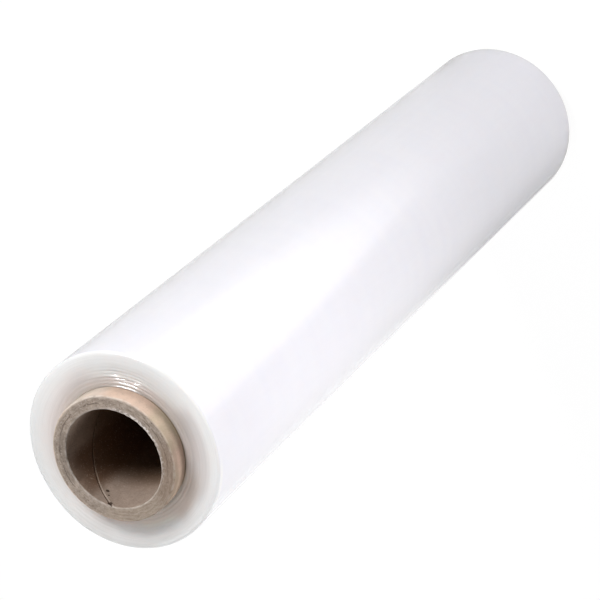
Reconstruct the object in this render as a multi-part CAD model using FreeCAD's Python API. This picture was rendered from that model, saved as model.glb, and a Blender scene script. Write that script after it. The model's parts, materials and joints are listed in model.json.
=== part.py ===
# A roll of clear stretch wrap film on a spiral wound paper core, standing on one end.
#
# The film is one long web wound tightly on the core, so its turns are one solid. The core is
# longer than the film is wide and stands out of both ends of the winding. The film's ends show
# the wound turns as lips that run in one continuous spiral from the core to the free edge, and
# its outside has the small step where the free edge lies on the turn below.
#
# Frame: millimetres, +Z up along the roll's axis, with the origin at the middle of the core's
# lower end, which is the ring that the roll stands on.
import FreeCAD, Part
import math
import os

# Core
core_bore_diameter = 50.0
core_wall = 7.0
core_overhang = 9.0         # length of core that stands out of the film at each end
core_inner_bevel = 0.5      # worn inner edge of the cut ends
core_outer_round = 0.5      # crushed outer edge of the cut ends
seam_lead = 120.0           # rise of the inner ply's seam in one turn round the bore
seam_width = 0.9            # gap between the edges of the inner ply
seam_depth = 0.45           # thickness of the inner ply
seam_top_angle = 131.0      # where the seam reaches the upper end, in degrees from +X

# Film
film_width = 500.0
film_diameter = 100.0
end_round = 3.0             # soft corner between the film's side and its ends
lip_spacing = 1.8           # nearest spacing of the turns that show on the ends
lip_height_at_core = 0.9    # how far the turns next to the core stand proud of their valleys
lip_height_at_side = 0.35   # the same for the outermost turns
lip_crest_share = 0.7       # share of a turn's thickness from its valley to its crest
end_dish = 0.8              # how much lower the film's ends lie beside the core
free_edge_step = 0.2        # step on the side where the film's free edge lies
free_edge_angle = 70.0      # where the free edge lies, in degrees from +X

core_bore_radius = core_bore_diameter / 2
core_radius = core_bore_radius + core_wall
core_length = film_width + 2 * core_overhang
film_radius = film_diameter / 2
film_bottom = core_overhang
film_top = core_overhang + film_width
film_build = film_radius - core_radius
turn_count = max(2, round(film_build / lip_spacing))
turn_pitch = film_build / turn_count

AXIS = FreeCAD.Vector(0, 0, 1)
UP_X = FreeCAD.Vector(1, 0, 0)


def point(radius, height, centre_x=0.0):
    """A point of a profile in the XZ plane, at a radius from an upright axis at centre_x."""
    return FreeCAD.Vector(centre_x + radius, 0, height)


def outline(points):
    """A closed wire of straight edges through the points."""
    return Part.makePolygon(points + points[:1])


def spun(wire, centre_x=0.0, start=0.0, sweep=360.0):
    """The solid that a closed profile sweeps round the upright axis at centre_x."""
    centre = FreeCAD.Vector(centre_x, 0, 0)
    solid = Part.Face(wire).revolve(centre, AXIS, sweep)
    solid.rotate(centre, AXIS, start)
    return solid


def core_profile():
    """Half section of the tube: straight walls, bevelled inner edges, rounded outer edges."""
    bevel = core_inner_bevel
    rounding = core_outer_round
    upper_inner = point(core_bore_radius, core_length - bevel)
    upper_face = point(core_bore_radius + bevel, core_length)
    upper_edge = point(core_radius - rounding, core_length)
    upper_side = point(core_radius, core_length - rounding)
    lower_side = point(core_radius, rounding)
    lower_edge = point(core_radius - rounding, 0)
    lower_face = point(core_bore_radius + bevel, 0)
    lower_inner = point(core_bore_radius, bevel)
    on_arc = rounding * (1 - math.sqrt(0.5))
    upper_arc = Part.Arc(upper_edge, point(core_radius - on_arc, core_length - on_arc), upper_side)
    lower_arc = Part.Arc(lower_side, point(core_radius - on_arc, on_arc), lower_edge)
    edges = [
        Part.makeLine(upper_inner, upper_face),
        Part.makeLine(upper_face, upper_edge),
        upper_arc.toShape(),
        Part.makeLine(upper_side, lower_side),
        lower_arc.toShape(),
        Part.makeLine(lower_edge, lower_face),
        Part.makeLine(lower_face, lower_inner),
        Part.makeLine(lower_inner, upper_inner),
    ]
    return Part.Wire(edges)


def seam_groove():
    """The gap along the inner ply's edges: a rectangle swept up a right-handed helix."""
    run_out = seam_width
    height = core_length + 2 * run_out
    helix = Part.makeHelix(seam_lead, height, core_bore_radius)
    climb = math.atan2(seam_lead, 2 * math.pi * core_bore_radius)
    across = FreeCAD.Vector(0, -math.sin(climb), math.cos(climb)) * (seam_width / 2)
    start = FreeCAD.Vector(core_bore_radius, 0, 0)
    inward = UP_X * -seam_depth
    outward = UP_X * seam_depth
    section = outline([
        start + inward - across,
        start + outward - across,
        start + outward + across,
        start + inward + across,
    ])
    groove = Part.Wire(helix).makePipeShell([section], True, True)
    groove.translate(AXIS * -run_out)
    turned_at_top = 360.0 * (core_length + run_out) / seam_lead
    groove.rotate(FreeCAD.Vector(), AXIS, seam_top_angle - turned_at_top)
    return groove


def core_tube():
    """The paper tube, with the seam of its inner ply winding up the bore."""
    return spun(core_profile()).cut(seam_groove())


def envelope_half(centre_x, radius, start):
    """Half of the roll's outer form: a stadium-cornered section spun half a turn."""
    corner = end_round
    on_arc = corner * (1 - math.sqrt(0.5))
    upper_edge = point(radius - corner, film_top, centre_x)
    upper_mid = point(radius - on_arc, film_top - on_arc, centre_x)
    upper_side = point(radius, film_top - corner, centre_x)
    lower_side = point(radius, film_bottom + corner, centre_x)
    lower_mid = point(radius - on_arc, film_bottom + on_arc, centre_x)
    lower_edge = point(radius - corner, film_bottom, centre_x)
    upper_axis = point(0, film_top, centre_x)
    lower_axis = point(0, film_bottom, centre_x)
    edges = [
        Part.makeLine(upper_axis, upper_edge),
        Part.Arc(upper_edge, upper_mid, upper_side).toShape(),
        Part.makeLine(upper_side, lower_side),
        Part.Arc(lower_side, lower_mid, lower_edge).toShape(),
        Part.makeLine(lower_edge, lower_axis),
        Part.makeLine(lower_axis, upper_axis),
    ]
    return spun(Part.Wire(edges), centre_x, start, 180.0)


def lip_height(radius):
    """Height of a turn's lip over its valley, bold beside the core and faint at the side."""
    share = (film_radius - radius) / film_build
    return lip_height_at_side + (lip_height_at_core - lip_height_at_side) * share ** 2


def valley_depth(radius):
    """How far a valley lies below the end of the film, with the dish beside the core."""
    share = (film_radius - radius) / film_build
    return lip_height(radius) + end_dish * share


def lip_points(first_radius, shift):
    """Radii and depths of the turns' valleys and crests, from the core outwards.

    The depths follow the place of each turn on the joint between the halves, so that both
    halves meet there at one height.
    """
    points = []
    for turn in range(turn_count + 2):
        radius = first_radius + (turn - 1) * turn_pitch
        place = min(max(radius - shift, core_radius), film_radius)
        crest = radius + lip_crest_share * turn_pitch
        crest_place = min(max(crest - shift, core_radius), film_radius)
        points.append((radius, valley_depth(place)))
        points.append((crest, valley_depth(crest_place) - lip_height(crest_place)))
    return points


def turns_half(centre_x, first_radius, start):
    """Half of the winding about its own centre, with a lip for each turn at both ends."""
    lips = lip_points(first_radius, centre_x)
    upper = [point(radius, film_top - depth, centre_x) for radius, depth in lips]
    lower = [point(radius, film_bottom + depth, centre_x) for radius, depth in reversed(lips)]
    return spun(outline(upper + lower), centre_x, start, 180.0)


def film_roll():
    """The wound film: half turns about two centres, half a pitch apart, make one spiral.

    A half turn about the roll's axis is followed by one about a centre half a pitch to the
    side and half a pitch wider, so each turn ends one pitch further out than it began. The
    outer form is made the same way with the free edge's step in place of the pitch.
    """
    inner_half = turns_half(0.0, core_radius, 0.0)
    outer_half = turns_half(turn_pitch / 2, core_radius + turn_pitch / 2, 180.0)
    side_half = envelope_half(0.0, film_radius, 0.0)
    lapped_half = envelope_half(free_edge_step / 2, film_radius + free_edge_step / 2, 180.0)
    first = inner_half.common(side_half)
    second = outer_half.common(lapped_half)
    core_hole = Part.makeCylinder(core_radius, core_length)
    wound = first.fuse(second).cut(core_hole).removeSplitter()
    wound.rotate(FreeCAD.Vector(), AXIS, free_edge_angle)
    return wound


os.makedirs("parts", exist_ok=True)
for name, make in (("core_tube", core_tube), ("film_roll", film_roll)):
    shape = make()
    print(
        name, "valid" if shape.isValid() else "NOT VALID", len(shape.Solids), "solid,",
        len(shape.Faces), "faces,", round(shape.Volume / 1000, 2), "cm3",
    )
    shape.exportStep(f"parts/{name}.step")
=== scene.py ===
# A roll of clear stretch wrap film on a spiral wound paper core, standing on one end.
#
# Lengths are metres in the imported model's frame, +Z up along the roll's axis, with the origin at
# the middle of the core's lower end. Inside a finish they are millimetres. Angles round the roll
# start at +X. The film and the core take the place, the radii and the length of their solids and
# add the fine turns, plies and fibres. The camera looks down on the upper end and is rolled, so
# the roll lies across the frame.
import json
import math

import bmesh
import bpy
from mathutils import Matrix, Vector, noise


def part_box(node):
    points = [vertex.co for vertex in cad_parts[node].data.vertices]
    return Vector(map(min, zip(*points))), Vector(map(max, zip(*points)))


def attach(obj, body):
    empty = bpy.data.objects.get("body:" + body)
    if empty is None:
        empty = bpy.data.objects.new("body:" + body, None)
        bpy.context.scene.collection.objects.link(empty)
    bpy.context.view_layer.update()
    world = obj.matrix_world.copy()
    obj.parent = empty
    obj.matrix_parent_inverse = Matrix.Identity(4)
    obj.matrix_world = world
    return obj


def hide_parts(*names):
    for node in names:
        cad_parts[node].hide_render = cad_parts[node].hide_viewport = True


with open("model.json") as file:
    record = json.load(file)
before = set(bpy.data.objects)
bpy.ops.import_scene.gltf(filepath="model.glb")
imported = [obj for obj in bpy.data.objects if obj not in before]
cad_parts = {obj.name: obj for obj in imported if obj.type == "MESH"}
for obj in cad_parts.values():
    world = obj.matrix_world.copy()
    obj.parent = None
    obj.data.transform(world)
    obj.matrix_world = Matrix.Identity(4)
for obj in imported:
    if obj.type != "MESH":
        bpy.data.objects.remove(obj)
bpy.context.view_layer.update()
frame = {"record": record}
core_low, core_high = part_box("core_tube")
film_low, film_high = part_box("film_roll")
core_bore = next(m for m in frame["record"]["mounts"] if m["name"] == "core_bore")

MM = 0.001
WHOLE_TURN = 2 * math.pi
WELD_DISTANCE = 0.0005 * MM

# Core
CORE_BOTTOM = core_low.z
CORE_TOP = core_high.z
CORE_RADIUS = (core_high.y - core_low.y) / 2
BORE_RADIUS = core_bore["dims"]["r_mm"] * MM
CORE_WALL = CORE_RADIUS - BORE_RADIUS
CORE_COLUMNS = 288
CORE_SHARP_ANGLE = math.radians(50)
INNER_BEVEL = 0.5 * MM          # worn inner edge of the cut ends
BEVEL_STEPS = 5
BEVEL_CURVE = 1.4
OUTER_ROUND = 0.8 * MM          # crushed outer edge of the cut ends
OUTER_DENT = 0.08 * MM          # how deep it is dented
OUTER_DENT_PLACE = 9 * MM       # place of its dents in the noise of the fibres
ROUND_STEPS = 4
FACE_STEPS = 30                 # rings across the plies of a cut end
PLY = 0.78 * MM                 # thickness of one ply of board
PLY_WANDER = 0.12 * MM          # how far the plies wander in and out round the tube
PLY_WANDER_ROUND = 1.5          # how tightly that changes round the tube
PLY_CRACK = 0.07 * MM           # depth of the cracks between plies in the cut ends
PLY_CRACK_SHARES = (0.05, 0.2)  # half widths of a crack's bottom and mouth, as shares of a ply
FIBRE_RELIEF = 0.05 * MM        # height of the torn fibres on the cut ends
FINE_FIBRE = 0.5 * MM           # size of the fine fibres across the wall
COARSE_FIBRE = 1.5 * MM         # size of the coarse ones
FINE_ROUND = 26.0               # how tightly the fine fibres change round the tube
COARSE_ROUND = 6.0              # how tightly the coarse ones do
FINE_SHARE = 0.6                # share of the fine fibres in the torn surface
FACE_FADE = 0.08                # share of a cut end's width over which cracks and fibres begin
EDGE_WEAR = 0.12 * MM           # how far the inner edge is torn
RAGGED_WEAR = 0.60 * MM         # the same where the upper end is torn most
RAGGED_SWELL = 0.22 * MM        # how far its fibres stand into the bore there
RAGGED_DEGREES = -97            # where that is
RAGGED_SPREAD = (0.5, 0.9)      # cosines of the angle away from it at which it begins and is full
BORE_UNEVEN = 0.03 * MM         # how far the bore's wall waves in and out
BORE_WAVE = 12 * MM             # length of those waves along the bore
BORE_WAVES_ROUND = 2.0          # how tightly they change round it

# Seam of the core's inner ply
SEAM_LEAD = 120 * MM            # rise of the seam in one turn
SEAM_HALF_WIDTH = 0.34 * MM
SEAM_DEPTH = 0.45 * MM
SEAM_TOP_ANGLE = math.radians(131)
SEAM_SLOPE = 0.1                # how far the groove's walls slope, in half widths
SEAM_LIFT = 0.1 * MM            # how far the ply's free edge curls into the bore
SEAM_LIFT_FULL = 1.2            # how far from the seam it is highest, in half widths
SEAM_LIFT_REACH = 8             # how far from the seam the curl ends, in half widths
SEAM_ROWS = (0.5, 0.92, 1.08)   # first rows beside the seam, in half widths
SEAM_ROW_GAP = 0.6              # gap to the row after them, in half widths
SEAM_ROW_GROWTH = 1.7           # how much wider each further gap is
BORE_PITS = (                   # torn spots in the bore: angle, depth and radius in mm
    (125.6, 1.9, 1.45),
    (112.2, 10.0, 1.1),
    (117.0, 7.4, 0.6),
)

# Film
FILM_BOTTOM = film_low.z
FILM_TOP = film_high.z
FILM_RADIUS = (film_high.y - film_low.y) / 2
FILM_COLUMNS = 360
FILM_SHARP_ANGLE = math.radians(70)
FREE_EDGE_STEP = 0.2 * MM
FREE_EDGE_ANGLE = math.radians(70)
FREE_EDGE_SHARPNESS = math.radians(0.06)
SIDE_ROWS = 48
SIDE_WAVES = 0.05 * MM          # how far the tight side waves in and out
SIDE_FADE = 25 * MM             # distance from the ends over which the waves begin
SIDE_BAND = 16 * MM             # spacing of the bands round the side
SIDE_RIPPLE = 55 * MM           # length of the ripples along the side
SIDE_RIPPLES_ROUND = 3.4        # how many there are round the side, as a tightness

# Turns that show on the film's ends
END_ROUND = 1.6 * MM            # soft corner between the side and the ends
END_DISH = 0.7 * MM             # how much lower the ends lie beside the core
END_DISH_CURVE = 1.5            # how fast they rise from there
END_UNEVEN = 0.25 * MM          # how much some turns lie lower than others
END_EVENING = 0.6               # how much of that is gone at the side
END_SETTLE = 1.2 * MM           # run before the side over which the lips die out
LIP_SPACING = 1.8 * MM          # mean spacing of the turns that show
LIP_SAMPLES = 8
LIP_CREST = 0.55                # share of a turn's thickness from its valley to its crest
LIP_AT_CORE = 0.2 * MM          # height of the lips beside the core
LIP_AT_SIDE = 0.07 * MM         # height of the faintest lips
LIP_FADE = (0.1, 0.6)           # shares of the end's width between which the lips grow faint
LIP_START = 0.3 * MM            # run beside the core over which the lips begin
LIP_STRENGTH = 0.75             # mean share of its height that a lip has
LIP_SWELLING = 0.45             # how much that changes slowly round the roll
LIP_FLICKER = 0.15              # how much that changes quickly round the roll
LIP_STRONGEST = 1.05            # the largest share of its height that a lip has
OUTER_RISE = 1.5 * MM           # how far the outer turns slid up on one side of the upper end
OUTER_RISE_ANGLE = math.radians(138)
OUTER_RISE_BEGINS = 0.3         # cosine of the angle away from there at which the rise begins
OUTER_RISE_FROM = 0.35          # share of the end's width at which they begin
SLIPPED_LIP = 0.8 * MM          # height of the few turns that slipped up at the upper end
SLIPPED_ANGLE = math.radians(-51)
SLIPPED_HALF_SPAN = math.radians(26)
SLIPPED_FULL_HALF_SPAN = 0.3 * SLIPPED_HALF_SPAN    # the stretch in which they stand highest
SLIPPED_UNDISHED = 0.6          # how much of the dish is gone there
SLIPPED_FADE = (0.3, 0.65)      # shares of the end's width between which they die out
SLIPPED_SHARES = (0.90, 0.70, 0.74, 0.62, 0.60)     # how far each stands up, from the core out
SLIPPED_FLICKERS = (0.05, 0.30, 0.35, 0.45, 0.50)   # how much that changes round the roll

# Unevenness: how tightly it changes round the roll, how much from turn to turn, and its place in
# the noise
SWELLING_NOISE = (0.7, 0.83, 11.0)
FLICKER_NOISE = (9.0, 1.7, 71.0)
LOW_TURN_NOISE = (0.45, 0.61, 47.0)

# Places in the noise
SIDE_BAND_SEED = 5.0
SIDE_RIPPLE_SEED = 21.0
BORE_SEED = 31.0
LOWER_TURNS_SEED = 83.0
UPPER_CUT_SEED = 200.0
LOWER_CUT_SEED = 300.0
PLY_SEED = 7.0                  # added to a cut end's seed
COARSE_SEED = 50.0              # added to a cut end's seed

# Patches of the finishes round the roll, many of them painted light and shade: the middle's angle
# in degrees, and the cosines of the angle away from it at which the patch begins and is full
# painted shade in the crease beside the core
FILM_CREASE_SHADE_SIDE = (-112, 0.60, 0.85)
# painted warm shade in the core's shadow
FILM_WARM_SHADE_SIDE = (180, 0.70, 0.90)
# painted shade midway across the end
FILM_PAINTED_SHADE_SIDE = (-128, 0.78, 0.93)
# painted light in the core's shadow
FILM_PAINTED_LIGHT_SIDE = (152, 0.83, 0.97)
FILM_GREY_SIDE = (140, 0.60, 0.95)
# painted highlight on the turns
FILM_PAINTED_HIGHLIGHT_SIDE = (-56, 0.72, 0.94)
# painted light on the outer corner
FILM_PAINTED_LIGHT_RIMS = ((-170, 0.72, 0.93), (62, 0.72, 0.93))
CUT_RAGGED_SIDE = (RAGGED_DEGREES, 0.45, 0.85)
CUT_WARM_SIDE = (160, 0.70, 0.95)
# painted shade beside the bore
CUT_PAINTED_SHADE_SIDE = (52, 0.84, 0.97)
CUT_PEELED_SIDE = (-165, 0.25, 0.80)
# painted highlight on the outer rim and edge
CUT_PAINTED_HIGHLIGHT_SIDE = (-30, 0.50, 0.95)
CUT_STAINED_SIDE = (-138, 0.75, 0.97)
# painted highlight on the inner edge
CUT_LIP_HIGHLIGHT_SIDE = (-80, 0.50, 0.85)
# painted shade on the bore's wall
BORE_PAINTED_SHADE_SIDE = (80, 0.85, 0.97)
KRAFT_PEACH_SIDE = (-52, 0.80, 0.95)
KRAFT_PALE_SIDE = (-18, 0.90, 0.99)
# painted shade near the cut end
KRAFT_PAINTED_SHADE_SIDE = (-155, 0.30, 0.90)
# painted light near the film
KRAFT_PAINTED_LIGHT_SIDE = (-158, 0.80, 0.96)

# Colours of the film
FILM_END_STOPS = (              # by the share of the way from the core to the side
    (0.0, (0.80, 0.68, 0.58)),
    (0.03, (0.80, 0.695, 0.63)),
    (0.08, (0.79, 0.70, 0.655)),
    (0.28, (0.76, 0.70, 0.68)),
    (0.5, (0.88, 0.84, 0.83)),
    (0.72, (0.93, 0.905, 0.895)),
    (0.9, (0.94, 0.935, 0.925)),
)
# painted warm shade
FILM_WARM_SHADE = (0.90, 0.79, 0.71)
# painted highlight
FILM_PAINTED_HIGHLIGHT = (0.985, 0.965, 0.95)
# painted shade in the crease where the film meets the core
FILM_CREASE_SHADE = (0.42, 0.29, 0.18)
# painted light on the outer corner
FILM_PAINTED_LIGHT_RIM = (0.985, 0.98, 0.975)
FILM_SIDE_DARK = (0.858, 0.849, 0.978)
FILM_SIDE_LIGHT = (0.899, 0.889, 0.992)
FILM_SCATTER = (1.0, 0.93, 0.9)     # how far red, green and blue spread in the film
FILM_SCATTER_REACH = 11 * MM
FILM_RELIEF = 0.12 * MM

# Colours of the core's cut ends
CUT_DARK = (0.31, 0.25, 0.205)
CUT_LIGHT = (0.46, 0.38, 0.32)
CUT_OPEN_PLY = (0.16, 0.12, 0.095)
CUT_DARK_FLECK = (0.14, 0.10, 0.08)
CUT_LIGHT_FLECK = (0.62, 0.54, 0.48)
CUT_FRAYED = (0.64, 0.56, 0.52)
CUT_FRINGE = (0.90, 0.83, 0.79)
CUT_NOTCH = (0.27, 0.22, 0.19)
CUT_WARM = (0.46, 0.37, 0.29)
CUT_PEELED = (0.60, 0.50, 0.42)
CUT_UNDER_PEEL = (0.22, 0.165, 0.125)
# painted highlight on the outer rim
CUT_PAINTED_HIGHLIGHT_RIM = (0.60, 0.50, 0.43)
CUT_STAIN = (0.27, 0.185, 0.13)
# pale torn fibres with a painted highlight on one side
CUT_LIP_FIBRES_AND_HIGHLIGHT = (0.70, 0.63, 0.57)
# pale wear with a painted highlight on one side
CUT_WORN_EDGE_AND_HIGHLIGHT = (0.82, 0.72, 0.64)
OPEN_PLY_RADIUS = 29.0          # where a gap between plies stands open, in mm

# Colours of the bore
BORE_DARK = (0.28, 0.21, 0.165)
BORE_LIGHT = (0.44, 0.345, 0.285)
# painted shade in the bore's depth
BORE_DEPTH_SHADE = (0.19, 0.115, 0.07)
# painted shade on one side of the bore
BORE_SHADE_BROWN = (0.15, 0.078, 0.04)
BORE_LIGHT_FLECK = (0.50, 0.41, 0.34)
BORE_DARK_FLECK = (0.16, 0.11, 0.08)
# painted highlight on the seam's curled edge
SEAM_EDGE_HIGHLIGHT = (0.62, 0.53, 0.46)
# dark seam gap, with painted shade beside it
SEAM_GAP_AND_SHADE = (0.065, 0.038, 0.025)
PIT = (0.05, 0.03, 0.02)

# Colours of the core's outer ply
PEACH_DARK = (0.58, 0.42, 0.32)
PEACH_LIGHT = (0.75, 0.56, 0.45)
OLIVE_DARK = (0.50, 0.40, 0.29)
OLIVE_LIGHT = (0.64, 0.53, 0.40)
KRAFT_PEACH = (0.76, 0.57, 0.46)
KRAFT_PALE = (0.63, 0.545, 0.47)
KRAFT_FLECK = (0.46, 0.35, 0.26)
# painted light near the film
KRAFT_PAINTED_LIGHT = (0.84, 0.65, 0.50)
BOARD_RELIEF = 0.25 * MM

# Studio
AIR_SIDES = 0.38                # light from the horizon
AIR_DARK_SIDE = 0.26            # the same from the side away from the key light
AIR_ABOVE = 0.12                # light from overhead
AIR_DIM_FROM = 0.45             # height of a direction at which the light starts to fall off
AIR_DIM_TO = 0.80
AIR_DARK_TURN = (-0.2, 0.9)     # how far towards -X a direction points where the dark side begins
FLOOR_HALF_WIDTH = 6.0
FLOOR_MATT = (0.86, 0.86, 0.86, 1)
FLOOR_WHITE = 1.085
FLOOR_WHITE_SHARE = 0.86        # share of plain white in the floor that the camera sees
FLOOR_GLOSS_SHARE = 0.25        # the same for the floor that glossy surfaces show
FLOOR_BESIDE_ROLL = 0.4         # how much of that share is left beside the roll
SHEET_WHITE = 1.8               # the brighter sheet that glossy surfaces show in front
SHEET_SHARE = 0.9
SHEET_SLANT = 0.76              # how the sheet's edge slants across the floor
SHEET_EDGE = (0.185, 0.20)      # distances along the slant at which it begins and is full
SHEET_IN_FRONT = (0.10, 0.26)   # the same in front of the roll's axis
PALE_LEFT = (-0.05, 0.32)       # the same for the pale floor on the left
PALE_BEHIND = (-0.02, 0.15)     # the same for the pale floor behind the roll
PALE_BEHIND_ENDS = (0.02, 0.12)     # distances to the right over which that ends
BESIDE_ROLL = (0.08, 0.20)      # distances from the axis over which the floor beside it ends
KEY_DIRECTION = Vector((0.757, -0.337, 0.559))
KEY_DISTANCE = 1.1


def eased(value, low, high):
    """0 below low, 1 above high and a smooth rise between them."""
    share = min(max((value - low) / (high - low), 0.0), 1.0)
    return share * share * (3 - 2 * share)


def between(start, end, share):
    """The value at a share of the way from start to end."""
    return start + (end - start) * share


def waver(angle, tightness, along, seed):
    """A smooth random value, about -1 to 1, that closes on itself round the roll."""
    place = Vector((math.cos(angle) * tightness, math.sin(angle) * tightness, along + seed))
    return noise.noise(place)


def turn_waver(angle, turns, kind):
    """The waver of one kind of unevenness at an angle of one of the film's turns."""
    tightness, by_turn, seed = kind
    return waver(angle, tightness, turns * by_turn, seed)


def polar(angle, radius, height):
    """A point of the roll's frame from its angle round the axis, radius and height."""
    return (radius * math.cos(angle), radius * math.sin(angle), height)


class Skin:
    """The points and faces of one closed mesh, gathered patch by patch."""

    def __init__(self):
        self.points = []
        self.faces = []

    def ring(self, points):
        """Adds the points of one closed ring and returns their numbers."""
        first = len(self.points)
        self.points.extend(points)
        return list(range(first, len(self.points)))

    def band(self, lower, upper):
        """Joins two rings of as many points; the faces look outwards when upper is above."""
        count = len(lower)
        for here in range(count):
            after = (here + 1) % count
            self.faces.append((lower[here], lower[after], upper[after], upper[here]))

    def spiral(self, columns, samples, turns, place, inward):
        """A spiral strip whose outer edge is the next turn's inner edge.

        place(turn, column, sample) gives a point and whether it was held back at the start (-1)
        or the end (1) of the surface, where the strip runs out. inward turns the faces over.
        """
        first = len(self.points)
        held = []
        for step in range((turns + 1) * columns + 1):
            for sample in range(samples):
                point, hold = place(step // columns, step % columns, sample)
                self.points.append(point)
                held.append(hold)
        for step in range(turns * columns):
            for sample in range(samples):
                out_step = step + columns * ((sample + 1) // samples)
                out_sample = (sample + 1) % samples
                corners = [
                    step * samples + sample,
                    (step + 1) * samples + sample,
                    (out_step + 1) * samples + out_sample,
                    out_step * samples + out_sample,
                ]
                if max(corners) >= len(held) or abs(sum(held[c] for c in corners)) == 4:
                    continue
                if inward:
                    corners.reverse()
                self.faces.append(tuple(first + c for c in corners))

    def piece(self, name, material, sharp_angle):
        """The finished object, with patches welded where they meet."""
        mesh = bpy.data.meshes.new(name)
        mesh.from_pydata(self.points, [], self.faces)
        weld = bmesh.new()
        weld.from_mesh(mesh)
        bmesh.ops.remove_doubles(weld, verts=weld.verts, dist=WELD_DISTANCE)
        bmesh.ops.delete(weld, geom=[v for v in weld.verts if not v.link_faces], context="VERTS")
        bmesh.ops.recalc_face_normals(weld, faces=weld.faces)
        weld.to_mesh(mesh)
        weld.free()
        mesh.shade_smooth()
        mesh.set_sharp_from_angle(angle=sharp_angle)
        mesh.materials.append(material)
        made = bpy.data.objects.new(name, mesh)
        bpy.context.scene.collection.objects.link(made)
        return made


# Film

def side_radius(local_angle):
    """Radius of the side at an angle from the free edge: the last turn climbs by the step."""
    if local_angle <= math.pi:
        return FILM_RADIUS
    half_step = FREE_EDGE_STEP / 2
    reach = FILM_RADIUS + half_step
    across = half_step * math.sin(local_angle)
    return half_step * math.cos(local_angle) + math.sqrt(reach ** 2 - across ** 2)


def end_run(radius):
    """Length of the profile from the core across the end and round the corner."""
    return radius - END_ROUND - CORE_RADIUS + END_ROUND * math.pi / 2


LIP_TURNS = round(end_run(FILM_RADIUS) / LIP_SPACING)
LIP_PITCH = end_run(FILM_RADIUS + FREE_EDGE_STEP) / LIP_TURNS


def film_column(column):
    """Angle from the free edge of one of the columns round the roll."""
    span = WHOLE_TURN - 2 * FREE_EDGE_SHARPNESS
    return FREE_EDGE_SHARPNESS + span * column / (FILM_COLUMNS - 1)


def lip_shape(share):
    """Height of a lip, 0 in the valleys and 1 on the crest, with a straight outer flank."""
    if share < LIP_CREST:
        return math.sin(math.pi / 2 * share / LIP_CREST)
    return (1 - share) / (1 - LIP_CREST)


def slipped(angle, place):
    """1 in the middle of the few turns that slipped up, and 0 away from them."""
    aside = math.acos(math.cos(angle - SLIPPED_ANGLE))
    near = 1 - eased(aside, SLIPPED_FULL_HALF_SPAN, SLIPPED_HALF_SPAN)
    return near * (1 - eased(place, *SLIPPED_FADE))


def end_depth(run, whole_run, turns, angle, share, upper):
    """How far the end's surface lies below its outline at a run from the core."""
    place = min(run / whole_run, 1.0)
    settle = eased(whole_run - run, 0, END_SETTLE)
    proud = slipped(angle, place) if upper else 0.0
    bold = between(LIP_AT_CORE, LIP_AT_SIDE, eased(place, *LIP_FADE))
    bold = between(bold, SLIPPED_LIP, proud)
    which = min(max(int(turns + 1), 0), len(SLIPPED_SHARES) - 1)
    strength = between(LIP_STRENGTH, SLIPPED_SHARES[which], proud)
    swelling = between(LIP_SWELLING, 0.0, proud)
    strength += swelling * turn_waver(angle, turns, SWELLING_NOISE)
    flicker = between(LIP_FLICKER, SLIPPED_FLICKERS[which], proud)
    strength += flicker * turn_waver(angle, turns, FLICKER_NOISE)
    lip = bold * min(strength, LIP_STRONGEST) * lip_shape(share) * eased(run, 0, LIP_START)
    low_turn = 0.5 + 0.5 * turn_waver(angle, turns, LOW_TURN_NOISE)
    uneven = END_UNEVEN * low_turn * (1 - END_EVENING * place)
    dish = END_DISH * (1 - place) ** END_DISH_CURVE * (1 - SLIPPED_UNDISHED * proud)
    return max(dish + (uneven + bold - lip) * settle, 0.0)


def outer_rise(angle, run, whole_run):
    """How far the outer turns of the upper end slid up."""
    near = eased(math.cos(angle - OUTER_RISE_ANGLE), OUTER_RISE_BEGINS, 1.0)
    return OUTER_RISE * near * eased(run / whole_run, OUTER_RISE_FROM, 1.0)


def film_end(skin, upper):
    """One end of the winding, from the core over the soft corner, and its two edge rings."""
    end = FILM_TOP if upper else FILM_BOTTOM
    facing = 1 if upper else -1
    seed = 0.0 if upper else LOWER_TURNS_SEED

    def on_profile(local_angle, run, depth):
        radius = side_radius(local_angle)
        flat = radius - END_ROUND - CORE_RADIUS
        bend = max(run - flat, 0.0) / END_ROUND
        if run <= flat:
            across = CORE_RADIUS + run
            drop = depth
        else:
            across = radius - END_ROUND + (END_ROUND - depth) * math.sin(bend)
            drop = END_ROUND - (END_ROUND - depth) * math.cos(bend)
        angle = FREE_EDGE_ANGLE + local_angle
        if upper:
            drop -= outer_rise(angle, run, end_run(radius))
        return polar(angle, across, end - facing * drop)

    def place(turn, column, sample):
        local_angle = film_column(column)
        turns = turn - 1 + local_angle / WHOLE_TURN
        share = sample / LIP_SAMPLES
        whole_run = end_run(side_radius(local_angle))
        wanted = LIP_PITCH * (turns + share)
        run = min(max(wanted, 0.0), whole_run)
        hold = (wanted >= whole_run) - (wanted <= 0)
        angle = FREE_EDGE_ANGLE + local_angle
        if hold == 0:
            depth = end_depth(run, whole_run, turns + seed, angle, share, upper)
        else:
            depth = END_DISH + LIP_AT_CORE if hold < 0 else 0.0
        return on_profile(local_angle, run, depth), hold

    skin.spiral(FILM_COLUMNS, LIP_SAMPLES, LIP_TURNS + 1, place, inward=not upper)
    angles = [film_column(column) for column in range(FILM_COLUMNS)]
    inner = skin.ring([on_profile(a, 0.0, END_DISH + LIP_AT_CORE) for a in angles])
    outer = skin.ring([on_profile(a, end_run(side_radius(a)), 0.0) for a in angles])
    return inner, outer


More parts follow.
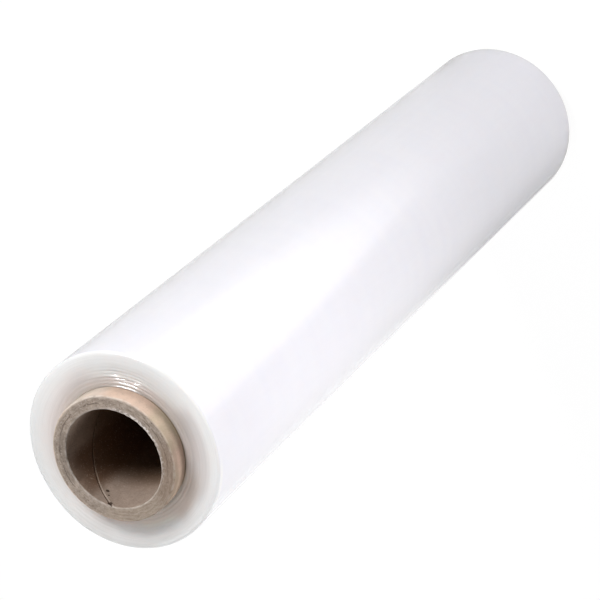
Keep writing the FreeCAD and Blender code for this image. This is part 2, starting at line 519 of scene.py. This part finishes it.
def film_side_rings(skin, lowest, highest):
    """Rings up the side, tight but with faint bands round it and ripples along it."""
    rings = []
    for row in range(1, SIDE_ROWS):
        height = between(lowest, highest, row / SIDE_ROWS)
        from_end = min(height - lowest, highest - height)
        fade = eased(from_end, 0, SIDE_FADE)
        band = noise.noise(Vector((height / SIDE_BAND, SIDE_BAND_SEED, 0.0)))
        points = []
        for column in range(FILM_COLUMNS):
            local_angle = film_column(column)
            angle = FREE_EDGE_ANGLE + local_angle
            along = height / SIDE_RIPPLE
            ripple = waver(angle, SIDE_RIPPLES_ROUND, along, SIDE_RIPPLE_SEED)
            sink = SIDE_WAVES * fade * (1 + (band + ripple) / 2)
            points.append(polar(angle, side_radius(local_angle) - sink, height))
        rings.append(skin.ring(points))
    return rings


def film_turns(material):
    """The wound film: both ends with their spiral of turns, and the side between them."""
    skin = Skin()
    top_inner, top_outer = film_end(skin, upper=True)
    bottom_inner, bottom_outer = film_end(skin, upper=False)
    lowest = FILM_BOTTOM + END_ROUND
    highest = FILM_TOP - END_ROUND
    rings = [bottom_outer] + film_side_rings(skin, lowest, highest) + [top_outer]
    for lower, upper in zip(rings, rings[1:]):
        skin.band(lower, upper)
    skin.band(top_inner, bottom_inner)
    return skin.piece("film_turns", material, FILM_SHARP_ANGLE)


# Core

SEAM_CLIMB = math.atan2(SEAM_LEAD, WHOLE_TURN * BORE_RADIUS)
BORE_LOW = CORE_BOTTOM + INNER_BEVEL
BORE_HIGH = CORE_TOP - INNER_BEVEL


def seam_rows():
    """Rises from the seam at which the bore has rows: close beside it and sparse far away."""
    half = [SEAM_HALF_WIDTH * share for share in SEAM_ROWS]
    gap = SEAM_HALF_WIDTH * SEAM_ROW_GAP
    while half[-1] + gap < SEAM_LEAD * math.cos(SEAM_CLIMB) / 2:
        half.append(half[-1] + gap)
        gap *= SEAM_ROW_GROWTH
    rises = [distance / math.cos(SEAM_CLIMB) for distance in half]
    return [0.0] + rises + [SEAM_LEAD - rise for rise in reversed(rises)]


def from_seam(angle, height):
    """Distance square to the seam, negative on the side of the ply edge that lifts."""
    at_top = SEAM_LEAD * (angle - SEAM_TOP_ANGLE) / WHOLE_TURN
    rise = (height - CORE_TOP - at_top + SEAM_LEAD / 2) % SEAM_LEAD - SEAM_LEAD / 2
    return rise * math.cos(SEAM_CLIMB)


def bore_radius(angle, height):
    """Radius of the bore with the seam's groove, the lifted ply edge and the wall's unevenness."""
    half_widths = from_seam(angle, height) / SEAM_HALF_WIDTH
    groove = 1 - eased(abs(half_widths), 1 - SEAM_SLOPE, 1 + SEAM_SLOPE)
    lift = eased(-half_widths, 1, SEAM_LIFT_FULL)
    lift *= 1 - eased(-half_widths, SEAM_LIFT_FULL, SEAM_LIFT_REACH)
    uneven = waver(angle, BORE_WAVES_ROUND, height / BORE_WAVE, BORE_SEED)
    return BORE_RADIUS + groove * SEAM_DEPTH - lift * SEAM_LIFT + BORE_UNEVEN * uneven


def bore_wall(skin):
    """The inside of the tube, gridded along the seam so that its groove is crisp."""
    rows = seam_rows()
    turns = math.ceil((BORE_HIGH - BORE_LOW) / SEAM_LEAD) + 2

    def place(turn, column, sample):
        angle = SEAM_TOP_ANGLE + WHOLE_TURN * column / CORE_COLUMNS
        wanted = CORE_TOP + SEAM_LEAD * (turn + 1 - turns + column / CORE_COLUMNS) + rows[sample]
        height = min(max(wanted, BORE_LOW), BORE_HIGH)
        hold = (wanted >= BORE_HIGH) - (wanted <= BORE_LOW)
        return polar(angle, bore_radius(angle, height), height), hold

    skin.spiral(CORE_COLUMNS, len(rows), turns, place, inward=True)


class CutEnd:
    """One cut end of the core. Its profiles give the radius and the drop below the end."""

    def __init__(self, upper):
        self.upper = upper
        self.height = CORE_TOP if upper else CORE_BOTTOM
        self.facing = 1 if upper else -1
        self.seed = UPPER_CUT_SEED if upper else LOWER_CUT_SEED

    def fuzz(self, angle, across):
        """Torn fibres, about -1 to 1, at a distance across the wall."""
        fine = waver(angle, FINE_ROUND, across / FINE_FIBRE, self.seed)
        coarse = waver(angle, COARSE_ROUND, across / COARSE_FIBRE, self.seed + COARSE_SEED)
        return between(coarse, fine, FINE_SHARE)

    def inner_edge(self, angle, share):
        """The worn bevel, which takes over the bore's groove and is ragged on one side."""
        arch = math.sin(math.pi * share)
        towards = math.cos(angle - math.radians(RAGGED_DEGREES))
        ragged = eased(towards, *RAGGED_SPREAD) if self.upper else 0.0
        wear = between(EDGE_WEAR, RAGGED_WEAR, ragged)
        worn = wear * self.fuzz(angle, share * MM) * arch
        groove = bore_radius(angle, self.height - self.facing * INNER_BEVEL) - BORE_RADIUS
        radius = BORE_RADIUS + INNER_BEVEL * share ** BEVEL_CURVE + groove * (1 - share)
        radius += worn - RAGGED_SWELL * ragged * arch
        return radius, INNER_BEVEL * (1 - share) + abs(worn)

    def plies(self, angle, share):
        """The flat of the wall, with fibres and the cracks between its plies."""
        across = between(INNER_BEVEL, CORE_WALL - OUTER_ROUND, share)
        wander = PLY_WANDER * waver(angle, PLY_WANDER_ROUND, 0.0, self.seed + PLY_SEED)
        in_ply = ((across + wander) / PLY) % 1.0
        crack = 1 - eased(min(in_ply, 1 - in_ply), *PLY_CRACK_SHARES)
        fade = eased(share, 0, FACE_FADE) * eased(1 - share, 0, FACE_FADE)
        drop = (FIBRE_RELIEF * (1 + self.fuzz(angle, across)) + PLY_CRACK * crack) * fade
        return BORE_RADIUS + across, max(drop, 0)

    def outer_edge(self, angle, share):
        """The crushed round between the cut end and the tube's outside."""
        bend = math.pi / 2 * share
        dent = OUTER_DENT * abs(self.fuzz(angle, OUTER_DENT_PLACE)) * math.sin(2 * bend)
        radius = CORE_RADIUS - OUTER_ROUND + (OUTER_ROUND - dent) * math.sin(bend)
        return radius, OUTER_ROUND - (OUTER_ROUND - dent) * math.cos(bend)

    def rings(self, skin):
        """Rings from the bore over the bevel, plies and outer edge to the side."""
        steps = [(self.inner_edge, step / BEVEL_STEPS) for step in range(BEVEL_STEPS + 1)]
        steps += [(self.plies, step / FACE_STEPS) for step in range(1, FACE_STEPS + 1)]
        steps += [(self.outer_edge, step / ROUND_STEPS) for step in range(1, ROUND_STEPS + 1)]
        rings = []
        for profile, share in steps:
            points = []
            for column in range(CORE_COLUMNS):
                angle = SEAM_TOP_ANGLE + WHOLE_TURN * column / CORE_COLUMNS
                radius, drop = profile(angle, share)
                points.append(polar(angle, radius, self.height - self.facing * drop))
            rings.append(skin.ring(points))
        return rings


def paper_core(material):
    """The paper tube: bore, two cut ends and the outside."""
    skin = Skin()
    bore_wall(skin)
    top = CutEnd(upper=True).rings(skin)
    bottom = CutEnd(upper=False).rings(skin)
    for inner, outer in zip(top, top[1:]):
        skin.band(outer, inner)
    for inner, outer in zip(bottom, bottom[1:]):
        skin.band(inner, outer)
    skin.band(bottom[-1], top[-1])
    return skin.piece("paper_core", material, CORE_SHARP_ANGLE)


# Finishes

class Channel:
    """An output of a node, used in ordinary expressions on numbers."""

    def __init__(self, nodes, socket):
        self.nodes = nodes
        self.socket = socket

    def __add__(self, other):
        return self.nodes.maths("ADD", self, other)

    def __sub__(self, other):
        return self.nodes.maths("SUBTRACT", self, other)

    def __rsub__(self, other):
        return self.nodes.maths("SUBTRACT", other, self)

    def __mul__(self, other):
        return self.nodes.maths("MULTIPLY", self, other)

    def __truediv__(self, other):
        return self.nodes.maths("DIVIDE", self, other)

    __radd__ = __add__
    __rmul__ = __mul__


def opaque(colour):
    """A colour with its alpha, or a channel as it is."""
    return colour if isinstance(colour, Channel) else (*colour, 1.0)


class Finish:
    """The nodes of one material, or of the studio's air, written as expressions."""

    def __init__(self, owner):
        owner.use_nodes = True
        self.owner = owner
        self.tree = owner.node_tree
        self.tree.nodes.clear()

    def node(self, kind, settings, values, output):
        """Adds a node: settings first, then its sockets' values or links by identifier."""
        made = self.tree.nodes.new(kind)
        for name, setting in settings.items():
            if name == "stops":
                self.set_stops(made.color_ramp, setting)
            else:
                setattr(made, name, setting)
        for identifier, value in values.items():
            socket = next(s for s in made.inputs if s.identifier == identifier)
            if isinstance(value, Channel):
                self.tree.links.new(value.socket, socket)
            else:
                socket.default_value = value
        given = next((s for s in made.outputs if s.identifier == output), None)
        return Channel(self, given)

    def set_stops(self, ramp, stops):
        """Gives a colour ramp its stops, each a position and a colour."""
        while len(ramp.elements) < len(stops):
            ramp.elements.new(1.0)
        for element, (position, colour) in zip(ramp.elements, stops):
            element.position = position
            element.color = opaque(colour)

    def maths(self, operation, first, second=0.0):
        """A Math node on one or two values."""
        settings = {"operation": operation}
        values = {"Value": first, "Value_001": second}
        return self.node("ShaderNodeMath", settings, values, "Value")

    def rise(self, value, low, high):
        """0 below low, 1 above high and a smooth rise between them."""
        settings = {"interpolation_type": "SMOOTHSTEP"}
        values = {"Value": value, "From Min": low, "From Max": high}
        return self.node("ShaderNodeMapRange", settings, values, "Result")

    def fall(self, value, low, high):
        """1 below low, 0 above high and a smooth fall between them."""
        return 1 - self.rise(value, low, high)

    def side(self, angle, patch):
        """1 in the middle of a patch round the roll and 0 away from it."""
        middle, begins, full = patch
        return self.rise(self.maths("COSINE", angle - math.radians(middle)), begins, full)

    def blend(self, first, second, share):
        """A colour between two colours."""
        settings = {"data_type": "RGBA"}
        values = {"Factor_Float": share, "A_Color": opaque(first), "B_Color": opaque(second)}
        return self.node("ShaderNodeMix", settings, values, "Result_Color")

    def tinted(self, colour, tint):
        """A colour multiplied by a value, the same in all three channels."""
        values = {"Vector": colour, "Scale": tint}
        return self.node("ShaderNodeVectorMath", {"operation": "SCALE"}, values, "Vector")

    def ramp(self, value, stops):
        """A colour that runs through stops as the value goes from 0 to 1."""
        return self.node("ShaderNodeValToRGB", {"stops": stops}, {"Fac": value}, "Color")

    def grain(self, place, scale, detail):
        """A soft random value, about 0.2 to 0.8, with this many features to a millimetre."""
        values = {"Vector": place, "Scale": scale, "Detail": detail}
        return self.node("ShaderNodeTexNoise", {}, values, "Fac")

    def place_in_mm(self):
        """The surface's place in the roll's frame: its vector, radius, angle and height."""
        here = self.node("ShaderNodeTexCoord", {}, {}, "Object")
        values = {"Vector": here, "Scale": 1 / MM}
        vector = self.node("ShaderNodeVectorMath", {"operation": "SCALE"}, values, "Vector")
        x, y, z = (self.part(vector, axis) for axis in "XYZ")
        radius = self.maths("SQRT", x * x + y * y)
        angle = self.maths("ARCTAN2", y, x)
        return vector, radius, angle, z

    def part(self, vector, axis):
        """One coordinate of a vector."""
        return self.node("ShaderNodeSeparateXYZ", {}, {"Vector": vector}, axis)

    def joined(self, x, y, z):
        """A vector from three coordinates."""
        return self.node("ShaderNodeCombineXYZ", {}, {"X": x, "Y": y, "Z": z}, "Vector")

    def bump(self, height, distance, strength):
        """A normal for small relief, with height in units of the distance."""
        values = {"Height": height, "Distance": distance, "Strength": strength}
        return self.node("ShaderNodeBump", {}, values, "Normal")

    def seen(self):
        """Whether a ray comes from the camera, off a glossy surface or through a clear one."""
        kinds = ("Is Camera Ray", "Is Glossy Ray", "Is Transmission Ray")
        return [self.node("ShaderNodeLightPath", {}, {}, kind) for kind in kinds]

    def surface(self, shader):
        """Ends the tree with the shader and returns the material."""
        self.node("ShaderNodeOutputMaterial", {}, {"Surface": shader}, None)
        return self.owner


def film_end_colour(finish, angle, build, fine_turns):
    """Colour of the film's ends by the share from core to side, with painted light and shade round
    it.
    """
    colour = finish.ramp(build, FILM_END_STOPS)
    colour = finish.tinted(colour, 0.9 + fine_turns * 0.2)

    # Painted warm shade where the core's shadow falls on the end
    warm = finish.side(angle, FILM_WARM_SHADE_SIDE) * finish.fall(build, 0.35, 0.65)
    colour = finish.blend(colour, FILM_WARM_SHADE, warm * 0.6)
    # Painted shade midway across the end on one side
    painted_shade = finish.rise(build, 0.1, 0.25) * finish.fall(build, 0.6, 0.8)
    colour = finish.tinted(colour, 1 - finish.side(angle, FILM_PAINTED_SHADE_SIDE) * painted_shade * 0.15)
    # Painted light midway across the end, in the core's shadow
    painted_light = finish.rise(build, 0.2, 0.4) * finish.fall(build, 0.65, 0.9)
    colour = finish.tinted(colour, 1 + finish.side(angle, FILM_PAINTED_LIGHT_SIDE) * painted_light * 0.20)
    grey = finish.side(angle, FILM_GREY_SIDE) * finish.rise(build, 0.58, 0.80)
    colour = finish.tinted(colour, 1 - grey * 0.14)
    # Painted highlight midway across the end on the side toward the key light
    painted_highlight = finish.rise(build, 0.22, 0.38) * finish.fall(build, 0.65, 0.9)
    painted_highlight = finish.side(angle, FILM_PAINTED_HIGHLIGHT_SIDE) * painted_highlight
    colour = finish.blend(colour, FILM_PAINTED_HIGHLIGHT, painted_highlight * 0.8)
    # Painted shade in the crease between the film and the core on one side
    painted_brown_shade = finish.side(angle, FILM_CREASE_SHADE_SIDE) * finish.fall(build, 0.01, 0.05)
    return finish.blend(colour, FILM_CREASE_SHADE, painted_brown_shade)


def film_finish():
    """Clear glossy film, milky where its turns lie on each other and darker near the core."""
    finish = Finish(bpy.data.materials.new("wrap_film"))
    _, radius, angle, height = finish.place_in_mm()
    middle = (FILM_TOP + FILM_BOTTOM) / 2 / MM
    half = (FILM_TOP - FILM_BOTTOM) / 2 / MM
    from_middle = finish.maths("ABSOLUTE", height - middle)
    core_radius = CORE_RADIUS / MM
    film_radius = FILM_RADIUS / MM
    beside_end = finish.rise(from_middle, half - 1.5, half - 0.4)
    inside_rim = finish.fall(radius, film_radius - 1.8, film_radius - 0.5)
    on_end = finish.maths("MAXIMUM", beside_end, inside_rim)
    build = (radius - core_radius) / (film_radius - core_radius)

    spiral = radius - angle * (LIP_PITCH / MM / WHOLE_TURN)
    fine_turns = finish.grain(finish.joined(spiral * 3.2, angle * 1.1, 0.0), 1.0, 2.0)
    bands = finish.grain(finish.joined(angle * 0.6, 0.0, height * 0.11), 1.0, 3.0)
    ripples = finish.grain(finish.joined(angle * 22.0, 0.0, height * 0.035), 1.0, 3.0)

    end_colour = film_end_colour(finish, angle, build, fine_turns)
    side_colour = finish.blend(FILM_SIDE_DARK, FILM_SIDE_LIGHT, bands)
    side_colour = finish.tinted(side_colour, 0.985 + ripples * 0.03)
    colour = finish.blend(side_colour, end_colour, on_end)
    # Painted light on the outer corner of the ends on two sides
    painted_light_rim = finish.rise(from_middle, half - 5.0, half - 2.5) * finish.rise(build, 0.82, 0.92)
    painted_light_rim_sides = [finish.side(angle, patch) for patch in FILM_PAINTED_LIGHT_RIMS]
    colour = finish.blend(colour, FILM_PAINTED_LIGHT_RIM, painted_light_rim * finish.maths("MAXIMUM", *painted_light_rim_sides) * 0.9)

    side_relief = (ripples * 0.8 + bands * 0.2) * (1 - on_end)
    relief = side_relief + fine_turns * on_end * 0.5
    shader = finish.node("ShaderNodeBsdfPrincipled", {"subsurface_method": "RANDOM_WALK"}, {
        "Base Color": colour,
        "Roughness": 0.3 + ripples * 0.12,
        "IOR": 1.5,
        "Subsurface Weight": 0.85,
        "Subsurface Radius": FILM_SCATTER,
        "Subsurface Scale": FILM_SCATTER_REACH,
        "Coat Weight": 1.0,
        "Coat Roughness": 0.08,
        "Coat IOR": 1.5,
        "Normal": finish.bump(relief, FILM_RELIEF, 0.5),
    }, "BSDF")
    return finish.surface(shader)


class Board(Finish):
    """Grey recycled board: fibrous cut ends, a darker bore and a tan outer ply."""

    def __init__(self):
        super().__init__(bpy.data.materials.new("core_board"))
        self.place, self.radius, self.angle, self.height = self.place_in_mm()
        middle = (CORE_TOP + CORE_BOTTOM) / 2 / MM
        half = (CORE_TOP - CORE_BOTTOM) / 2 / MM
        self.from_end = half - self.maths("ABSOLUTE", self.height - middle)
        self.from_bore = self.radius - BORE_RADIUS / MM
        self.past_side = self.radius - CORE_RADIUS / MM
        self.fibres = self.grain(self.place, 1.6, 5.0)
        self.flecks = self.grain(self.place, 1.1, 3.0)
        self.marks = self.grain(self.place, 0.3, 3.0)
        self.cloud = self.grain(self.place, 0.09, 2.0)
        along_ring = self.joined(self.radius * 1.2, self.angle * 9.0, self.height * 0.4)
        self.torn = self.rise(self.grain(along_ring, 1.0, 4.0), 0.25, 0.75)
        self.light_flecks = self.rise(self.flecks, 0.58, 0.70)
        self.dark_flecks = self.fall(self.flecks, 0.31, 0.41)
        # The side toward the key light, where highlights are painted on the outer rim and edge
        self.pale_side = self.side(self.angle, CUT_PAINTED_HIGHLIGHT_SIDE)

    def cut_end(self):
        """Colour of the cut ends: torn plies, stained, peeled and frayed in patches, with painted
        shade and highlight.
        """
        cut = self.blend(CUT_DARK, CUT_LIGHT, self.torn)
        cut = self.tinted(cut, 0.62 + self.marks * 0.8)
        open_ply = self.maths("ABSOLUTE", self.radius + self.marks * 1.2 - OPEN_PLY_RADIUS)
        open_ply = self.fall(open_ply, 0.1, 0.5) * self.rise(self.cloud, 0.4, 0.55)
        cut = self.blend(cut, CUT_OPEN_PLY, open_ply * 0.75)
        cut = self.blend(cut, CUT_DARK_FLECK, self.dark_flecks * 0.6)
        cut = self.blend(cut, CUT_LIGHT_FLECK, self.light_flecks * 0.6)
        cut = self.frayed(cut)

        warm = self.side(self.angle, CUT_WARM_SIDE)
        cut = self.blend(cut, CUT_WARM, warm * 0.45)
        # Painted shade on the cut end beside the bore on one side
        painted_shade = self.side(self.angle, CUT_PAINTED_SHADE_SIDE) * self.fall(self.from_bore, 3.0, 5.0)
        cut = self.tinted(cut, 1 - painted_shade * 0.26)
        peeled_side = self.side(self.angle, CUT_PEELED_SIDE)
        layers = self.joined(self.radius * 1.3 + self.cloud * 9.0, self.angle * 2.2, 0.0)
        layers = self.grain(layers, 1.0, 3.0)
        cut = self.blend(cut, CUT_PEELED, self.rise(layers, 0.54, 0.64) * peeled_side * 0.45)
        cut = self.blend(cut, CUT_UNDER_PEEL, self.fall(layers, 0.36, 0.46) * peeled_side * 0.45)
        # Painted highlight on the outer rim on the side toward the key light
        painted_light_rim = self.rise(self.past_side + self.torn * 0.8, -1.4, -0.4)
        cut = self.blend(cut, CUT_PAINTED_HIGHLIGHT_RIM, painted_light_rim * self.pale_side * 0.8)
        return self.blend(cut, CUT_STAIN, self.side(self.angle, CUT_STAINED_SIDE) * 0.5)

    def frayed(self, cut):
        """Adds the frayed inner edge, with its fringe of fibres where it is torn most."""
        ragged = self.side(self.angle, CUT_RAGGED_SIDE)
        frayed = self.fall(self.from_bore + self.torn * 1.6, 1.2, 2.6)
        frayed = frayed * (0.3 * self.rise(self.marks, 0.35, 0.6) + ragged * 0.7)
        cut = self.blend(cut, CUT_FRAYED, frayed * (0.35 + self.torn * 0.65))
        fringe = self.joined(self.radius * 0.8, self.angle * 17.0, self.height * 0.3)
        fringe = self.rise(self.grain(fringe, 1.0, 3.0), 0.42, 0.58)
        at_bore = self.fall(self.from_bore, 1.0, 1.8) * ragged
        cut = self.blend(cut, CUT_FRINGE, fringe * at_bore * 0.9)
        return self.blend(cut, CUT_NOTCH, (1 - fringe) * at_bore * 0.55)

    def bore(self):
        """Colour of the bore: painted shade, darker and browner, deep in it and on one side, with
        the seam and the torn spots.
        """
        wall = self.blend(BORE_DARK, BORE_LIGHT, self.fibres)
        wall = self.tinted(wall, 0.62 + self.cloud * 0.4 + self.marks * 0.4)
        # Painted shade deep in the bore
        wall = self.blend(wall, BORE_DEPTH_SHADE, self.rise(self.from_end, 13.0, 38.0) * 0.9)
        # Painted shade, dark brown, on the wall on one side of the bore
        painted_brown_shade = 0.5 + self.rise(self.from_end, 0.0, 12.0) * 0.35
        wall = self.blend(wall, BORE_SHADE_BROWN, self.side(self.angle, BORE_PAINTED_SHADE_SIDE) * painted_brown_shade)
        wall = self.blend(wall, BORE_LIGHT_FLECK, self.light_flecks * 0.4)
        wall = self.blend(wall, BORE_DARK_FLECK, self.dark_flecks * 0.4)
        wall = self.seam(wall)
        for degrees, depth, radius in BORE_PITS:
            pit_x, pit_y, _ = polar(math.radians(degrees), BORE_RADIUS / MM, 0.0)
            pit = self.node("ShaderNodeVectorMath", {"operation": "DISTANCE"}, {
                "Vector": self.place,
                "Vector_001": (pit_x, pit_y, CORE_TOP / MM - depth),
            }, "Value")
            wall = self.blend(wall, PIT, self.fall(pit, radius * 0.6, radius * 1.1) * 0.9)
        return wall

    def seam(self, wall):
        """Adds the dark gap of the inner ply's seam, painted shade beside it and a painted
        highlight on its edge.
        """
        lead = SEAM_LEAD / MM
        half_gap = SEAM_HALF_WIDTH / MM
        climbed = self.height - CORE_TOP / MM + lead / 2
        climbed = climbed - (self.angle - SEAM_TOP_ANGLE) * (lead / WHOLE_TURN)
        aside = self.maths("FLOORED_MODULO", climbed, lead) - lead / 2
        aside = aside * math.cos(SEAM_CLIMB)
        # Painted highlight on the curled ply edge beside the seam, fading where the bore lies in
        # shade
        edge = self.rise(aside, -3.0 * half_gap, -2.2 * half_gap)
        edge = edge * self.fall(aside, -1.3 * half_gap, -1.0 * half_gap)
        edge = edge * self.fall(self.from_end, 12.0, 28.0)
        wall = self.blend(wall, SEAM_EDGE_HIGHLIGHT, edge * self.fibres * 0.8)
        # Dark open seam, widened on one side by painted shade
        gap = self.maths("ABSOLUTE", aside - half_gap * 0.4)
        gap = self.fall(gap, half_gap, half_gap * 1.3)
        gap = gap * (1 - self.rise(self.from_end, 18.0, 45.0) * 0.5)
        return self.blend(wall, SEAM_GAP_AND_SHADE, gap * 0.92)

    def outer_ply(self):
        """Colour of the outside: peach and olive kraft, with painted shade towards the film and on
        one side, and painted light.
        """
        peach = self.blend(PEACH_DARK, PEACH_LIGHT, self.fibres)
        olive = self.blend(OLIVE_DARK, OLIVE_LIGHT, self.fibres)
        peach_side = self.side(self.angle, KRAFT_PEACH_SIDE)
        patches = self.rise(self.grain(self.place, 0.07, 2.0), 0.4, 0.6)
        kraft = self.blend(peach, olive, patches * (1 - peach_side * 0.9))
        kraft = self.blend(kraft, KRAFT_PEACH, peach_side * 0.5)
        kraft = self.blend(kraft, KRAFT_PALE, self.side(self.angle, KRAFT_PALE_SIDE) * 0.8)
        kraft = self.blend(kraft, KRAFT_FLECK, self.dark_flecks * 0.3)
        kraft = self.tinted(kraft, 0.70 + self.cloud * 0.3 + self.marks * 0.3)
        # Painted shade, darker towards the film
        kraft = self.tinted(kraft, 1 - self.rise(self.from_end, 3.0, 9.0) * 0.2)
        # Painted shade near the cut end on the side away from the key light
        painted_brown_shade = self.side(self.angle, KRAFT_PAINTED_SHADE_SIDE) * self.fall(self.from_end, 2.0, 7.0)
        kraft = self.tinted(kraft, 1 - painted_brown_shade * 0.38)
        # Painted light near the film on that shaded side
        painted_light_by_film = self.side(self.angle, KRAFT_PAINTED_LIGHT_SIDE) * self.rise(self.from_end, 3.5, 6.0)
        return self.blend(kraft, KRAFT_PAINTED_LIGHT, painted_light_by_film * 0.4)

    def finished(self):
        """The material, with each colour in its place, pale wear on both edges and painted
        highlights on one side of each.
        """
        inside = self.rise(self.from_end, 0.3, 0.65) * self.fall(self.from_bore, 0.7, 1.2)
        colour = self.blend(self.cut_end(), self.bore(), inside)
        # Pale torn fibres on the bore's edge, with a painted highlight on them on one side
        lip = self.rise(self.from_bore, -0.1, 0.1) * self.fall(self.from_bore, 0.3, 0.8)
        lip = lip * self.fall(self.from_end, 0.5, 0.9)
        lip = lip * (self.torn * 0.7 + self.side(self.angle, CUT_LIP_HIGHLIGHT_SIDE) * 0.3)
        colour = self.blend(colour, CUT_LIP_FIBRES_AND_HIGHLIGHT, lip)
        outside = self.rise(self.past_side + self.fibres * 0.8, -0.6, 0.2)
        colour = self.blend(colour, self.outer_ply(), outside)
        # Pale worn outer edge all round, with a painted highlight on it on the side toward the key
        # light
        worn = self.rise(self.past_side, -1.1, -0.5) * self.fall(self.from_end, 0.3, 0.9)
        worn = worn * self.rise(self.torn, 0.1, 0.7) * (0.25 + self.pale_side * 0.5)
        colour = self.blend(colour, CUT_WORN_EDGE_AND_HIGHLIGHT, worn)
        relief = self.fibres * 0.7 + self.flecks * 0.3
        shader = self.node("ShaderNodeBsdfPrincipled", {}, {
            "Base Color": colour,
            "Roughness": 0.75 + self.fibres * 0.2,
            "IOR": 1.45,
            "Specular IOR Level": 0.2,
            "Normal": self.bump(relief, BOARD_RELIEF, 0.6),
        }, "BSDF")
        return self.surface(shader)


def floor_finish():
    """A pale floor that the camera and glossy surfaces see as white, with a faint shadow."""
    finish = Finish(bpy.data.materials.new("pale_floor"))
    by_camera, by_glossy, by_clear = finish.seen()
    here = finish.node("ShaderNodeTexCoord", {}, {}, "Object")
    x, y = (finish.part(here, axis) for axis in "XY")
    sheet = finish.rise(x * SHEET_SLANT - y, *SHEET_EDGE) * finish.rise(0.0 - y, *SHEET_IN_FRONT)
    sheet = sheet * by_glossy
    left = finish.rise(0.0 - x, *PALE_LEFT)
    behind = finish.rise(y, *PALE_BEHIND) * finish.fall(x, *PALE_BEHIND_ENDS)
    pale_side = finish.maths("MAXIMUM", finish.maths("MAXIMUM", sheet, left), behind)
    mirrored_share = FLOOR_GLOSS_SHARE + pale_side * (SHEET_SHARE - FLOOR_GLOSS_SHARE)
    from_roll = finish.rise(finish.maths("SQRT", x * x + y * y), *BESIDE_ROLL)
    mirrored_share = mirrored_share * (FLOOR_BESIDE_ROLL + from_roll * (1 - FLOOR_BESIDE_ROLL))
    mirrored = finish.maths("MAXIMUM", by_glossy, by_clear) * (1 - by_camera)
    share = by_camera * FLOOR_WHITE_SHARE + mirrored * mirrored_share
    white = finish.tinted((1.0, 1.0, 1.0), FLOOR_WHITE + sheet * (SHEET_WHITE - FLOOR_WHITE))
    matt = finish.node("ShaderNodeBsdfDiffuse", {}, {"Color": FLOOR_MATT}, "BSDF")
    glow = finish.node("ShaderNodeEmission", {}, {"Color": white, "Strength": 1.0}, "Emission")
    values = {"Fac": share, "Shader": matt, "Shader_001": glow}
    return finish.surface(finish.node("ShaderNodeMixShader", {}, values, "Shader"))


# Studio

def floor():
    """A wide pale floor at the height of the core's lower end."""
    half = FLOOR_HALF_WIDTH
    corners = [(-half, -half, 0), (half, -half, 0), (half, half, 0), (-half, half, 0)]
    mesh = bpy.data.meshes.new("floor")
    mesh.from_pydata(corners, [], [(0, 1, 2, 3)])
    mesh.materials.append(floor_finish())
    made = bpy.data.objects.new("floor", mesh)
    bpy.context.scene.collection.objects.link(made)


def studio_air():
    """Light from the sides, brightest on the key's side, seen by the camera as plain white."""
    world = bpy.data.worlds.new("studio_air")
    air = Finish(world)
    direction = air.node("ShaderNodeTexCoord", {}, {}, "Generated")
    overhead = air.rise(air.part(direction, "Z"), AIR_DIM_FROM, AIR_DIM_TO)
    dark_side = air.rise(0.0 - air.part(direction, "X"), *AIR_DARK_TURN)
    sides = AIR_SIDES - dark_side * (AIR_SIDES - AIR_DARK_SIDE)
    level = sides - overhead * (sides - AIR_ABOVE)
    by_camera, by_glossy, by_clear = air.seen()
    white = air.maths("MINIMUM", by_camera + by_glossy + by_clear, 1.0)
    strength = level * (1 - white) + white
    light = air.node("ShaderNodeBackground", {}, {"Strength": strength}, "Background")
    air.node("ShaderNodeOutputWorld", {}, {"Surface": light}, None)
    bpy.context.scene.world = world


def softbox(name, place, target, size, power, colour=(1.0, 1.0, 1.0), mirrored=False):
    """A rectangle of light that faces its target; glossy surfaces show it where mirrored."""
    lamp = bpy.data.lights.new(name, "AREA")
    lamp.shape = "RECTANGLE"
    lamp.size, lamp.size_y = size
    lamp.energy = power
    lamp.color = colour
    made = bpy.data.objects.new(name, lamp)
    made.location = place
    made.rotation_euler = (Vector(place) - Vector(target)).to_track_quat("Z", "Y").to_euler()
    made.visible_camera = False
    made.visible_glossy = mirrored
    bpy.context.scene.collection.objects.link(made)


def camera():
    """The photograph's camera: above the upper end, tilted down and rolled."""
    place = Vector((0.0, -0.7095, 1.3876))
    azimuth = math.radians(0.145)
    elevation = math.radians(56.58)
    roll = math.radians(-131.37)
    lens = bpy.data.cameras.new("camera")
    lens.sensor_width = 36.0
    lens.lens = 145.285
    made = bpy.data.objects.new("camera", lens)
    turn = Matrix.Rotation(azimuth, 4, "Z")
    tilt = Matrix.Rotation(math.pi / 2 - elevation, 4, "X")
    made.matrix_world = Matrix.Translation(place) @ turn @ tilt @ Matrix.Rotation(roll, 4, "Z")
    bpy.context.scene.collection.objects.link(made)
    bpy.context.scene.camera = made


camera()
floor()
studio_air()
upper_end = Vector((0.0, 0.0, FILM_TOP))
key_place = upper_end + KEY_DIRECTION * KEY_DISTANCE
softbox("key", key_place, upper_end, (0.42, 0.36), 10.35, mirrored=True)
softbox("front", (-0.25, -1.2, 0.14), (0.0, 0.0, 0.14), (1.2, 0.26), 3.35)
softbox("fill", (-0.268, -0.297, 0.44), (0.0, 0.0, 0.44), (0.4, 0.08), 0.86, (1.0, 0.98, 1.0))
softbox("back_fill", (-0.56, 0.67, 1.0), upper_end, (0.5, 0.5), 4.2)
bpy.context.scene.view_settings.view_transform = "Standard"

film = film_turns(film_finish())
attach(film, "root")
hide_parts("film_roll")

core = paper_core(Board().finished())
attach(core, "root")
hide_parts("core_tube")
